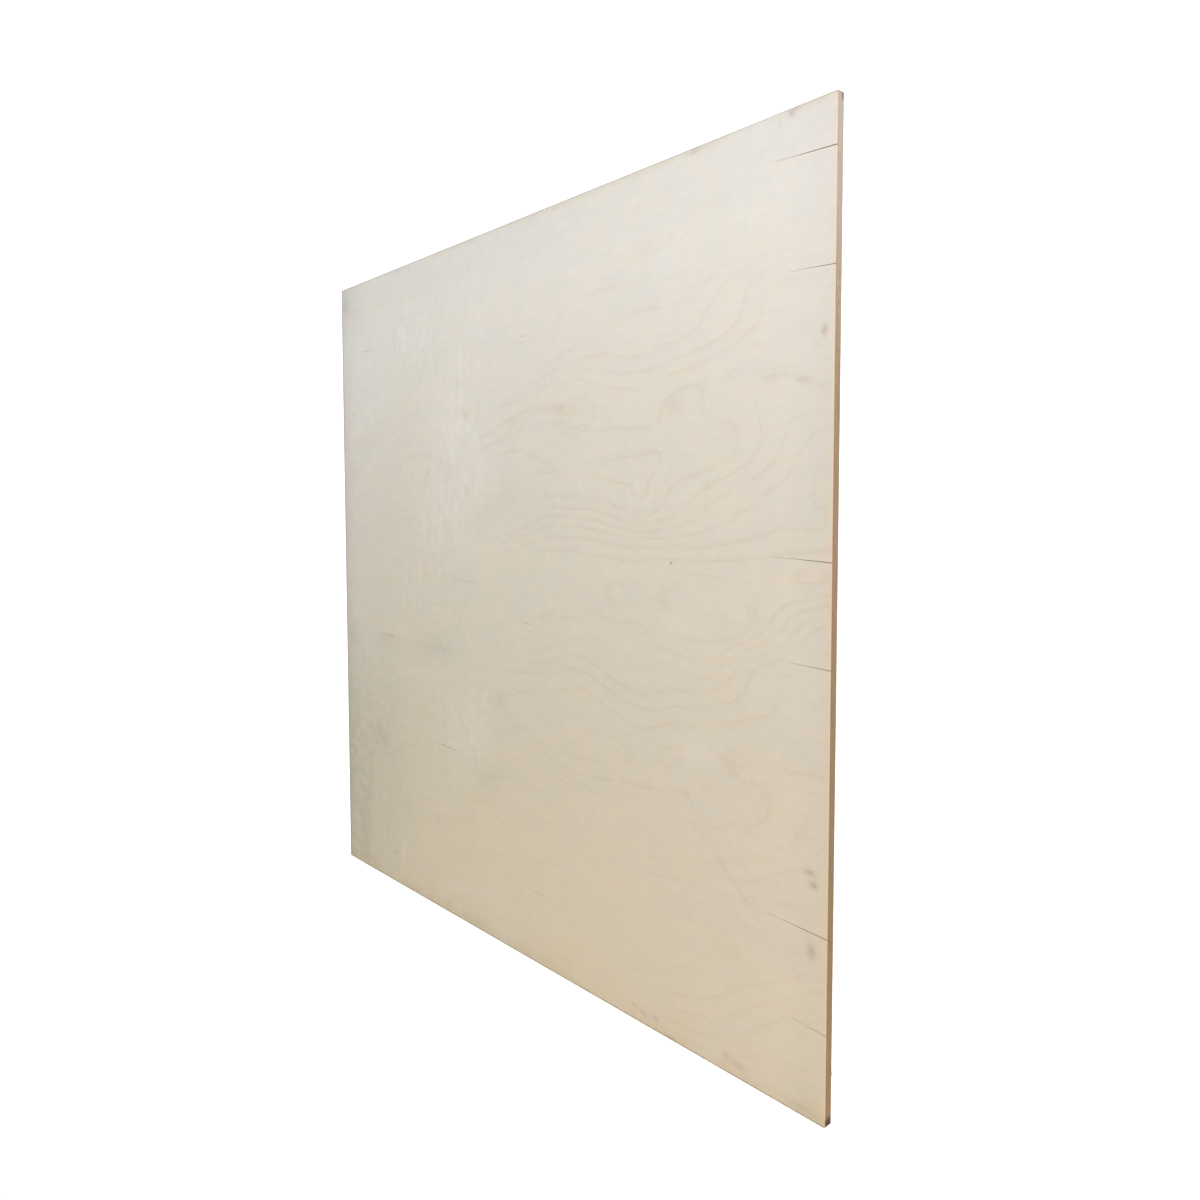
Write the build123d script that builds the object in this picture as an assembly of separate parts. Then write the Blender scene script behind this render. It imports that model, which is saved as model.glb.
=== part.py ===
from build123d import *
import os

# A sheet of birch plywood: veneers laid crosswise, glued under heat and sawn square, so that it
# is one piece of stock. It lies flat with its better face up. X runs along the grain of both
# faces, Y runs across it, and the origin is under the middle of the back face. The sheet has
# stood on site: its +X end has split along the grain, and its edges are worn and chipped.
# All lengths are in millimetres. Places are shares of the sheet's length from the -X end, or of
# its width from the -Y edge, so that a mark keeps its place when the sheet is cut to another size.

# Sheet
sheet_length = 1525.0
sheet_width = 1525.0
ply_count = 11
veneer = 1.4  # one ply after pressing
sanding = 0.2  # taken off each face

# Sawn edges
setback = 0.15  # a ply whose grain runs along an edge dries back this far from the saw's line
arris_wear = 0.35  # flat worn along the edge of each face
corner_radius = 0.8
bumped_corner = 3.5  # width of the flat knocked onto the corner at +X and -Y

# Splits that open from the +X end, run in along the grain and close to a point
grain_turn = -3.4  # degrees from X to the way the grain runs
split_opening = 0.018  # gap at the end for each millimetre of length
split_depth = 1.0  # nearly through the face ply, down to the glue
splits = (  # share of the width, length
    (0.950, 110.0),
    (0.841, 75.0),
    (0.560, 100.0),
    (0.456, 70.0),
    (0.191, 110.0),
    (0.094, 60.0),
)

# Checks: hairline splits in the middle of the face ply, closed at both ends
check_gap = 0.5
check_depth = 0.5
checks = (  # share of the length, share of the width, length
    (0.093, 0.884, 85.0),
    (0.518, 0.845, 30.0),
    (0.369, 0.513, 115.0),
    (0.521, 0.462, 50.0),
    (0.156, 0.412, 75.0),
    (0.321, 0.257, 80.0),
    (0.220, 0.237, 40.0),
    (0.544, 0.098, 70.0),
    (0.162, 0.049, 45.0),
)

# Strands that the saw tore out of the long-grained plies at the +X end
tear_depth = 2.0
tears = (  # ply from the back face, share of the width, length
    (4, 0.831, 20.0),
    (6, 0.819, 7.0),
    (6, 0.806, 18.0),
)

# Chips out of the arris of the better face
chip_width = 2.7  # half the width of the V that takes the arris off
chip_depth = 0.9
chips = (  # side of the sheet, share of the length, length
    (1, 0.822, 22.0),
    (1, 0.949, 22.0),
    (-1, 0.285, 60.0),
    (-1, 0.793, 24.0),
)

thickness = ply_count * veneer - 2 * sanding
overrun = 5.0  # cutting tools reach this far past the surface that they cut


def along(share):
    """Where a share of the length lies on X."""
    return (share - 0.5) * sheet_length


def across(share):
    """Where a share of the width lies on Y."""
    return (share - 0.5) * sheet_width


def ply_floor(number):
    """Height of the underside of a ply. The back face's ply is number 1."""
    return max(0.0, (number - 1) * veneer - sanding)


def ply_roof(number):
    """Height of the top of a ply."""
    return min(thickness, number * veneer - sanding)


def plies():
    """The veneers, each laid across the one below it, and sawn and dried as one sheet."""
    with BuildPart() as stack:
        for number in range(1, ply_count + 1):
            grain_on_x = number % 2 == 1
            length = sheet_length - (0 if grain_on_x else 2 * setback)
            width = sheet_width - (2 * setback if grain_on_x else 0)
            with BuildSketch(Plane.XY.offset(ply_floor(number))):
                RectangleRounded(length, width, corner_radius)
            extrude(amount=ply_roof(number) - ply_floor(number))
        for face in (stack.faces().sort_by(Axis.Z)[0], stack.faces().sort_by(Axis.Z)[-1]):
            chamfer(face.outer_wire().edges(), arris_wear)
    return stack.part


def slot_tool(outline, depth):
    """A slot with upright walls, sunk `depth` below the origin."""
    with BuildPart() as tool:
        with BuildSketch(Plane.XY.offset(-depth)):
            Polygon(*outline, align=None)
        extrude(amount=depth + overrun)
    return tool.part


def split_tool(length):
    """A slot along X that is widest at the origin, where it runs out, and closes at -length."""
    half_gap = split_opening * (length + overrun) / 2
    return slot_tool([(-length, 0), (overrun, -half_gap), (overrun, half_gap)], split_depth)


def check_tool(length):
    """A slot along X that is widest at the origin and closes at each end."""
    half = length / 2
    half_gap = check_gap / 2
    return slot_tool([(-half, 0), (0, -half_gap), (half, 0), (0, half_gap)], check_depth)


def chip_tool(length):
    """A V groove along X that is deepest at the origin and runs out at each end."""
    with BuildSketch(Plane.YZ) as section:
        Polygon((0, -chip_depth), (chip_width, chip_depth), (-chip_width, chip_depth), align=None)
    ends = [Vertex(-length / 2, 0, 0), Vertex(length / 2, 0, 0)]
    return loft([ends[0], section.sketch, ends[1]], ruled=True)


def tear_tool(length, height):
    """A hollow in an end that faces +X, deepest in its middle and one ply high."""
    with BuildPart() as tool:
        with BuildSketch():
            with BuildLine():
                ThreePointArc((0, -length / 2), (-tear_depth, 0), (0, length / 2))
                Polyline((0, -length / 2), (overrun, -length / 2), (overrun, length / 2), (0, length / 2))
            make_face()
        extrude(amount=height)
    return tool.part


def sheet():
    """The sheet with its splits, checks, tears, chips and bumped corner."""
    end = sheet_length / 2
    side = sheet_width / 2
    panel = plies()
    for share, length in splits:
        place = Pos(end, across(share), thickness) * Rot(0, 0, grain_turn)
        panel -= place * split_tool(length)
    for way, share, length in checks:
        place = Pos(along(way), across(share), thickness) * Rot(0, 0, grain_turn)
        panel -= place * check_tool(length)
    for number, share, length in tears:
        height = ply_roof(number) - ply_floor(number)
        panel -= Pos(end, across(share), ply_floor(number)) * tear_tool(length, height)
    for edge, way, length in chips:
        place = Pos(along(way), edge * side, thickness) * Rot(-45 * edge, 0, 0)
        panel -= place * chip_tool(length)
    corner = Box(bumped_corner, bumped_corner + 2 * overrun, 2 * (thickness + overrun))
    return panel - Pos(end, -side, 0) * Rot(0, 0, -45) * corner


os.makedirs("parts", exist_ok=True)
plywood_sheet = sheet()
export_step(plywood_sheet, "parts/plywood_sheet.step")
print("thickness", round(thickness, 3), "volume", round(plywood_sheet.volume / 1e9, 5), "m3")
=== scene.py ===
"""A sheet of birch plywood, lying flat with its better face up, as a photographer would light it.

The sheet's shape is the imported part's own, cut into small cells so that its veneers can carry a
figure. Each of its surfaces has its own finish: the better face, the back, the sawn plies of the
edges and the torn wood in the splits. Splinters and loose fibres stand on the sawn edges.

Lengths are metres unless a name ends in _mm. Places on the better face are millimetres from the
end at -X and from the edge at +Y, the way the sheet shows in the photograph.
"""
from __future__ import annotations

import logging
import math
from dataclasses import dataclass, field
from enum import Enum
from typing import Callable, Iterable, Sequence, Union

import bmesh
import bpy
import numpy as np
from mathutils import Matrix, Vector


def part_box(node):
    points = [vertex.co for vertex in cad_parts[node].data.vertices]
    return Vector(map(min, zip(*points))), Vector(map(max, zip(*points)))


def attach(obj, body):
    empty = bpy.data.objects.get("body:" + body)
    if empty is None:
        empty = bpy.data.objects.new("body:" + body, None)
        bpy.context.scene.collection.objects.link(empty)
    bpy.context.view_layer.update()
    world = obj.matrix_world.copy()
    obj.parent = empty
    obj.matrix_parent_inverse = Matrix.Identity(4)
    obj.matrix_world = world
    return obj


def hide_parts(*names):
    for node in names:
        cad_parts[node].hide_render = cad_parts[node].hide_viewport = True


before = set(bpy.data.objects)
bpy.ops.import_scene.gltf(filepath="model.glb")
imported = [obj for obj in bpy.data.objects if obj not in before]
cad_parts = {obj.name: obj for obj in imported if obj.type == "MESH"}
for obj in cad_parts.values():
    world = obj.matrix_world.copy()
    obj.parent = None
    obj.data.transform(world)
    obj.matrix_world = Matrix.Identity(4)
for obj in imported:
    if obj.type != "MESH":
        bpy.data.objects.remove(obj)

log = logging.getLogger("plywood_sheet")

Socket = bpy.types.NodeSocket
Node = bpy.types.Node

NODE = "plywood_sheet"
BODY = "root"
MM = 0.001
PHOTO_SIDE = 1200  # pixels of the photograph, whose viewing angle the camera takes
MIDDLE = 762.5  # the middle of the sheet, in the millimetres that places are given in


class Surface(Enum):
    """The surfaces of the sheet, in the order of its material slots."""

    BETTER_FACE = 0
    BACK = 1
    EDGE = 2
    TORN = 3


class Stain(Enum):
    """What a patch on a veneer does to the wood. The value is the name of its mesh attribute."""

    WARM = "warm"
    GREY = "grey"
    # Painted sheen: lighter, cooler patches where the figure catches the light
    PAINTED_SHEEN = "silver"
    PALE = "pale"


def linear(red: float, green: float, blue: float) -> tuple[float, float, float, float]:
    """Turns a display colour of 0 to 255 into the linear colour that a shader takes.

    Args:
        red: The display red, 0 to 255.
        green: The display green.
        blue: The display blue.

    Returns:
        The linear colour with an alpha of 1.
    """
    shares = [value / 255 for value in (red, green, blue)]
    lit = [s / 12.92 if s <= 0.04045 else ((s + 0.055) / 1.055) ** 2.4 for s in shares]
    return (lit[0], lit[1], lit[2], 1.0)


# Shader expressions


class Value:
    """A number that changes over a surface, with Python's operators."""

    def __init__(self, shader: Shader, socket: Socket) -> None:
        """Wraps the output socket of a node."""
        self.shader = shader
        self.socket = socket

    def _math(self, operation: str, *values: Number, clamp: bool = False) -> Value:
        """Adds a Math node.

        Args:
            operation: The Math node's operation.
            values: Its inputs, in order.
            clamp: Whether the result is held between 0 and 1.

        Returns:
            The node's result.
        """
        settings = {"operation": operation, "use_clamp": clamp}
        node = self.shader.node("ShaderNodeMath", settings, dict(enumerate(values)))
        return Value(self.shader, node.outputs[0])

    def __add__(self, other: Number) -> Value:
        """Sum."""
        return self._math("ADD", self, other)

    def __radd__(self, other: Number) -> Value:
        """Sum, the number first."""
        return self._math("ADD", other, self)

    def __sub__(self, other: Number) -> Value:
        """Difference."""
        return self._math("SUBTRACT", self, other)

    def __rsub__(self, other: Number) -> Value:
        """Difference, the number first."""
        return self._math("SUBTRACT", other, self)

    def __mul__(self, other: Number) -> Value:
        """Product."""
        return self._math("MULTIPLY", self, other)

    def __rmul__(self, other: Number) -> Value:
        """Product, the number first."""
        return self._math("MULTIPLY", other, self)

    def __truediv__(self, other: Number) -> Value:
        """Quotient."""
        return self._math("DIVIDE", self, other)

    def __rtruediv__(self, other: Number) -> Value:
        """Quotient, the number first."""
        return self._math("DIVIDE", other, self)

    def __neg__(self) -> Value:
        """The negative."""
        return self._math("MULTIPLY", self, -1.0)

    def __abs__(self) -> Value:
        """The distance from zero."""
        return self._math("ABSOLUTE", self)

    def __pow__(self, other: Number) -> Value:
        """Power."""
        return self._math("POWER", self, other)

    def floor(self) -> Value:
        """The whole number below."""
        return self._math("FLOOR", self)

    def fract(self) -> Value:
        """What is above the whole number below."""
        return self._math("FRACT", self)

    def most(self, other: Number) -> Value:
        """The larger of two."""
        return self._math("MAXIMUM", self, other)

    def above(self, other: Number) -> Value:
        """1 where this is larger, otherwise 0."""
        return self._math("GREATER_THAN", self, other)

    def held(self) -> Value:
        """Held between 0 and 1."""
        return self._math("ADD", self, 0.0, clamp=True)

    def bell(self, width: float, middle: float = 0.0) -> Value:
        """1 in the middle, fading over a width to either side."""
        return (-((self - middle) / width) ** 2).exp()

    def exp(self) -> Value:
        """The exponential."""
        return self._math("EXPONENT", self)

    def rise(self, low: float, high: float) -> Value:
        """Smooth steps between two levels.

        Args:
            low: The level at which the result is 0.
            high: The level at which it is 1. It may be the lower of the two.

        Returns:
            A value from 0 to 1.
        """
        settings = {"interpolation_type": "SMOOTHSTEP"}
        values = {"Value": self, "From Min": low, "From Max": high, "To Min": 0.0, "To Max": 1.0}
        node = self.shader.node("ShaderNodeMapRange", settings, values)
        return Value(self.shader, node.outputs[0])


Number = Union[Value, float]
Colour = Union[Socket, tuple]
Height = Callable[[np.ndarray, np.ndarray], np.ndarray]


class NodeTree:
    """A node tree that is being made, with one method for every kind of node."""

    def __init__(self, tree: bpy.types.NodeTree) -> None:
        """Takes the tree that nodes are added to."""
        self.tree = tree

    def node(self, kind: str, settings: dict | None = None, values: dict | None = None) -> Node:
        """Adds a node.

        Args:
            kind: The node's type.
            settings: Its own properties, set first.
            values: Its inputs by name or number. A Value or a socket is linked, and anything
                else is set.

        Returns:
            The node.
        """
        made = self.tree.nodes.new(kind)
        for name, value in (settings or {}).items():
            setattr(made, name, value)
        for key, value in (values or {}).items():
            if isinstance(value, Value):
                value = value.socket
            if isinstance(value, Socket):
                self.tree.links.new(value, made.inputs[key])
            else:
                made.inputs[key].default_value = value
        return made


class Shader(NodeTree):
    """A material that is being made."""

    def __init__(self, name: str) -> None:
        """Starts a material that has only its coordinates.

        Args:
            name: The material's name.
        """
        self.material = bpy.data.materials.new(name)
        self.material.use_nodes = True
        super().__init__(self.material.node_tree)
        self.tree.nodes.clear()
        self.place = self.node("ShaderNodeTexCoord").outputs["Object"]
        split = self.node("ShaderNodeSeparateXYZ", values={0: self.place})
        self.x, self.y, self.z = (Value(self, socket) for socket in split.outputs)

    def attribute(self, name: str) -> Value:
        """The mesh's own number of that name."""
        node = self.node("ShaderNodeAttribute", {"attribute_name": name})
        return Value(self, node.outputs["Fac"])

    def noise(
        self,
        grain_mm: Sequence[float],
        detail: float = 2.0,
        shift: float = 0.0,
        rough: float = 0.5,
        warp: float = 0.0,
    ) -> Value:
        """Cloudy noise around zero.

        Args:
            grain_mm: How long its clouds are along X, Y and Z.
            detail: How many finer layers it has.
            shift: Moves the pattern, so that two noises of one size differ.
            rough: How strong the finer layers are.
            warp: How far its clouds are pulled about.

        Returns:
            A value of about -0.5 to 0.5.
        """
        scales = tuple(1000 / size for size in grain_mm)
        moved = self.node(
            "ShaderNodeVectorMath",
            {"operation": "MULTIPLY_ADD"},
            {0: self.place, 1: scales, 2: (shift, shift * 0.7, shift * 1.3)},
        )
        values = {"Vector": moved.outputs[0], "Scale": 1.0, "Detail": detail}
        values |= {"Roughness": rough, "Distortion": warp}
        return Value(self, self.node("ShaderNodeTexNoise", {}, values).outputs[0]) - 0.5

    def mix(self, factor: Number, first: Colour, second: Colour) -> Socket:
        """Mixes two colours. The factor is how much of the second there is, 0 to 1."""
        settings = {"data_type": "RGBA", "blend_type": "MIX", "clamp_factor": True}
        return self.node("ShaderNodeMix", settings, {0: factor, 6: first, 7: second}).outputs[2]

    def brighten(self, colour: Colour, factor: Value) -> Socket:
        """Multiplies a colour by a value.

        Args:
            colour: The colour.
            factor: The value.

        Returns:
            The brighter or darker colour.
        """
        if isinstance(colour, tuple):
            colour = colour[:3]
        settings = {"operation": "SCALE"}
        return self.node("ShaderNodeVectorMath", settings, {0: colour, "Scale": factor}).outputs[0]

    def bump(self, height: Value, depth: float) -> Socket:
        """Relief from a height of about -1 to 1, that many metres deep."""
        values = {"Strength": 1.0, "Distance": depth, "Height": height}
        return self.node("ShaderNodeBump", {}, values).outputs[0]

    def finish(
        self,
        colour: Colour,
        roughness: Number,
        normal: Socket,
        gloss: float,
        glow: float = 0.0,
    ) -> bpy.types.Material:
        """Ends the material.

        Args:
            colour: Its colour.
            roughness: Its roughness.
            normal: Its relief.
            gloss: Its specular level, the same all over.
            glow: How much white light it gives.

        Returns:
            The material.
        """
        values = {"Base Color": colour, "Roughness": roughness, "Normal": normal}
        values["Specular IOR Level"] = gloss
        if glow:
            values |= {"Emission Color": (1.0, 1.0, 1.0, 1.0), "Emission Strength": glow}
        wood = self.node("ShaderNodeBsdfPrincipled", {}, values)
        self.node("ShaderNodeOutputMaterial", {}, {"Surface": wood.outputs[0]})
        return self.material


# The figure of the veneers


@dataclass(frozen=True)
class RingLine:
    """A line along which one growth ring meets the knife.

    Args:
        ring: The ring's number.
        path: Points on it, in millimetres from the end at -X and from the edge at +Y.
        strength: How dark the line is. A line below zero is pale, and zero hides where a ring
            turns.
    """

    ring: int
    path: tuple[tuple[float, float], ...]
    strength: float = 1.0


# Above the first turn of the peeler's knife
UPPER_RINGS = (
    RingLine(0, ((1000, 186), (1085, 190)), 0.3),
    RingLine(0, ((1195, 195), (1240, 205), (1265, 202)), 0.4),
    RingLine(1, ((1120, 240), (1170, 242), (1220, 247)), 1.3),
    RingLine(2, (
        (1035, 302), (1075, 315), (1120, 320), (1160, 312), (1210, 302), (1265, 285), (1290, 250),
    )),
    RingLine(3, (
        (670, 380), (695, 370), (745, 366), (790, 362), (840, 350), (880, 338), (915, 327),
        (950, 322), (985, 327), (1025, 335), (1070, 344), (1115, 350), (1175, 347), (1230, 339),
        (1285, 327), (1320, 312), (1345, 295), (1360, 275), (1359, 250),
    )),
    RingLine(4, (
        (875, 360), (915, 347), (960, 342), (1000, 348), (1025, 360), (1055, 367), (1100, 370),
        (1145, 370), (1185, 365), (1225, 355), (1260, 347), (1305, 342), (1345, 325), (1375, 312),
        (1387, 295), (1400, 280), (1415, 250),
    ), 0.7),
    RingLine(5, ((620, 457), (670, 450), (735, 435), (760, 427)), 1.5),
    RingLine(5, (
        (900, 430), (970, 437), (1025, 442), (1070, 445), (1125, 447), (1170, 440), (1188, 428),
        (1184, 412), (1190, 397), (1210, 390), (1240, 388), (1270, 388), (1276, 402), (1268, 430),
        (1282, 442), (1310, 452), (1345, 467), (1357, 485), (1335, 505), (1305, 520), (1270, 532),
        (1235, 536), (1205, 540), (1192, 550), (1217, 575),
    ), 1.3),
    RingLine(6, ((665, 475), (720, 465), (780, 467), (820, 480), (850, 490), (870, 515))),
    RingLine(6, ((1060, 500), (1100, 490), (1155, 486), (1200, 482)), 2.2),
    RingLine(6, ((1050, 545), (1080, 539), (1110, 532), (1165, 527)), 3.0),
    RingLine(6, ((1034, 500), (1026, 520), (1036, 545)), 0.0),
    RingLine(6, ((1172, 492), (1172, 525)), 0.0),
    RingLine(5, ((905, 565), (970, 567), (1015, 565), (1050, 575), (1082, 590)), 1.2),
    RingLine(4, ((1140, 620), (1190, 605), (1217, 590))),
    RingLine(3, (
        (130, 480), (180, 440), (230, 412), (290, 398), (350, 390), (430, 384), (510, 382),
        (560, 405), (592, 440),
    ), -1.8),
    RingLine(4, ((300, 585), (285, 530), (290, 480), (330, 455), (400, 450), (450, 470)), 0.8),
)

# Where the rings crowd together in the middle of the sheet
MIDDLE_RINGS = (
    RingLine(3, (
        (1440, 437), (1468, 457), (1450, 480), (1420, 510), (1405, 530), (1375, 545), (1335, 562),
        (1310, 570), (1275, 590), (1260, 605), (1225, 620), (1175, 628), (1100, 630), (1050, 620),
        (980, 605), (900, 600),
    )),
    RingLine(2, (
        (1525, 475), (1495, 480), (1470, 500), (1460, 525), (1440, 547), (1405, 570), (1375, 585),
        (1345, 605), (1310, 622), (1275, 632), (1215, 637), (1090, 641), (1040, 634), (980, 625),
        (870, 620), (820, 635), (750, 652),
    )),
    RingLine(1, (
        (1500, 572), (1475, 585), (1455, 605), (1425, 622), (1375, 637), (1325, 644), (1265, 650),
        (1175, 655), (1070, 650), (970, 640), (920, 639), (860, 642), (805, 655),
    )),
    RingLine(0, (
        (1525, 655), (1420, 667), (1375, 673), (1305, 677), (1250, 680), (1195, 687),
    ), 1.8),
    RingLine(0, ((1150, 690), (1070, 690), (1035, 680), (980, 674), (930, 667), (865, 670)), 1.2),
    RingLine(-1, ((1175, 700), (1235, 703), (1285, 707), (1345, 711), (1385, 712)), -0.8),
    RingLine(-1, ((1440, 715), (1500, 705))),
    RingLine(-1, ((1358, 728), (1375, 757)), -0.5),
    RingLine(0, ((1375, 745), (1405, 740), (1445, 735), (1525, 720)), 2.0),
    RingLine(-1, (
        (1065, 705), (1035, 735), (1055, 747), (1095, 760), (1160, 765), (1190, 752), (1197, 730),
    ), 0.7),
    RingLine(0, (
        (855, 785), (875, 800), (920, 800), (960, 792), (990, 782), (1020, 782), (1045, 792),
        (1085, 796), (1125, 787), (1160, 800), (1190, 825), (1225, 838),
    )),
    RingLine(-1, (
        (1175, 812), (1225, 812), (1295, 807), (1345, 800), (1375, 788), (1400, 765),
    ), 0.6),
    RingLine(-1, ((1160, 725), (1160, 790)), 0.0),
    RingLine(1, ((905, 840), (950, 835), (995, 825), (1060, 850), (1150, 870), (1205, 857)), 0.6),
)

# Below it, where the figure comes round again
LOWER_RINGS = (
    RingLine(2, (
        (880, 890), (910, 880), (945, 872), (995, 877), (1035, 893), (1085, 912), (1125, 917),
        (1175, 915), (1240, 907), (1270, 900), (1305, 887), (1335, 872), (1345, 855), (1352, 835),
        (1370, 822), (1415, 807), (1450, 795), (1457, 775), (1475, 757), (1520, 745),
    )),
    RingLine(3, (
        (620, 930), (680, 932), (745, 927), (810, 920), (850, 913), (890, 900), (940, 892),
        (990, 902), (1030, 915), (1075, 933), (1125, 940), (1175, 935), (1225, 922), (1275, 915),
        (1325, 905), (1355, 890), (1380, 870), (1397, 845), (1415, 824), (1455, 812), (1480, 795),
        (1492, 775), (1525, 760),
    )),
    RingLine(4, (
        (745, 970), (805, 962), (845, 955), (900, 945), (940, 937), (990, 936), (1020, 948),
        (1065, 967), (1095, 970), (1120, 985), (1145, 982), (1175, 970), (1225, 957), (1285, 950),
        (1325, 942), (1355, 930), (1395, 915), (1425, 895), (1443, 870), (1455, 840), (1485, 822),
        (1525, 805),
    )),
    RingLine(4, (
        (1525, 990), (1405, 991), (1365, 988), (1335, 992), (1322, 1006), (1365, 1017),
        (1405, 1025), (1422, 1045), (1412, 1070), (1395, 1087), (1355, 1108), (1305, 1120),
        (1250, 1135),
    )),
    RingLine(5, (
        (900, 1050), (940, 1063), (980, 1070), (1025, 1065), (1065, 1060), (1125, 1047),
        (1165, 1040), (1225, 1027),
    ), 0.7),
    RingLine(4, (
        (655, 1085), (690, 1055), (745, 1045), (810, 1047), (840, 1065), (880, 1090), (930, 1100),
        (1025, 1095), (1075, 1090), (1145, 1085), (1225, 1070),
    ), 0.8),
    RingLine(3, (
        (1485, 1060), (1465, 1090), (1450, 1115), (1415, 1140), (1375, 1155), (1345, 1162),
    )),
    RingLine(2, ((1500, 1120), (1455, 1145), (1420, 1165), (1385, 1185), (1345, 1200)), 0.8),
    RingLine(1, (
        (1505, 1195), (1465, 1205), (1405, 1215), (1325, 1222), (1225, 1232), (1125, 1245),
    ), 0.55),
    RingLine(0, ((1395, 1275), (1445, 1280), (1500, 1280)), 0.8),
    RingLine(0, (
        (1475, 1310), (1435, 1335), (1395, 1355), (1345, 1375), (1315, 1400), (1275, 1420),
        (1235, 1432), (1190, 1440),
    ), 0.7),
    RingLine(1, (
        (1500, 1325), (1440, 1355), (1375, 1395), (1345, 1425), (1305, 1445), (1245, 1462),
        (1175, 1465),
    ), 0.8),
    RingLine(2, (
        (1500, 1345), (1455, 1380), (1415, 1412), (1375, 1440), (1335, 1465), (1275, 1480),
        (1240, 1485),
    ), 0.75),
    RingLine(3, (
        (200, 1020), (280, 990), (340, 975), (400, 966), (500, 962), (555, 990), (590, 1030),
    ), -2.0),
    RingLine(4, ((170, 1160), (200, 1095), (270, 1045), (370, 1025), (470, 1035)), 0.4),
    RingLine(1, (
        (620, 1480), (760, 1476), (900, 1458), (990, 1440), (1050, 1440), (1110, 1455),
        (1175, 1465),
    ), 0.6),
    RingLine(2, (
        (480, 1492), (620, 1498), (760, 1494), (900, 1480), (1010, 1466), (1090, 1480),
    ), -0.8),
)

# Round the swellings at the left, where the figure is faint
LEFT_RINGS = (
    RingLine(4, ((185, 290), (170, 200), (215, 120), (320, 75), (440, 82), (520, 135)), 0.35),
    RingLine(5, ((260, 270), (225, 200), (265, 140), (350, 118), (430, 135), (470, 185)), 0.5),
    RingLine(3, ((650, 60), (605, 130), (575, 210), (558, 290), (545, 350)), -0.6),
    RingLine(2, ((720, 60), (670, 150), (640, 230)), -0.5),
    RingLine(1, ((60, 700), (200, 665), (380, 640), (560, 655), (690, 640)), 0.5),
    RingLine(0, ((60, 800), (220, 770), (400, 745), (560, 735)), 0.6),
    RingLine(0, ((40, 1330), (200, 1298), (400, 1245), (600, 1200), (760, 1172), (900, 1150)), 0.4),
    RingLine(-1, ((60, 1395), (250, 1362), (450, 1312), (650, 1262), (850, 1225)), 0.6),
    RingLine(0, ((120, 1450), (300, 1420), (500, 1372), (700, 1330), (900, 1300)), 0.5),
    RingLine(1, ((160, 1500), (330, 1475), (520, 1430), (700, 1400), (860, 1390)), -0.5),
)


@dataclass(frozen=True)
class Swelling:
    """A swelling of the log, round which its rings close.

    Args:
        x: Its middle, in millimetres from the end at -X.
        y: Its middle, in millimetres from the edge at +Y.
        long: Half its length along the grain.
        wide: Half its width.
        rings: How many rings it adds.
    """

    x: float
    y: float
    long: float
    wide: float
    rings: float

    def height(self, x: np.ndarray, y: np.ndarray) -> np.ndarray:
        """How much it adds at each place."""
        along, across = (x - self.x) / self.long, (y - self.y) / self.wide
        return self.rings * np.exp(-(along**2) - across**2)


BACK_SWELLINGS = (
    Swelling(420, 330, 160, 60, 2.2),
    Swelling(1010, 880, 220, 80, 2.8),
    Swelling(300, 1120, 180, 90, -1.8),
    Swelling(1230, 300, 140, 70, -1.6),
)

FACE_SWELLINGS = (
    Swelling(370, 190, 190, 95, 3.6),
    Swelling(380, 500, 210, 100, 2.4),
    Swelling(400, 1100, 220, 110, 2.6),
    Swelling(470, 1330, 200, 60, -1.4),
)


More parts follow.
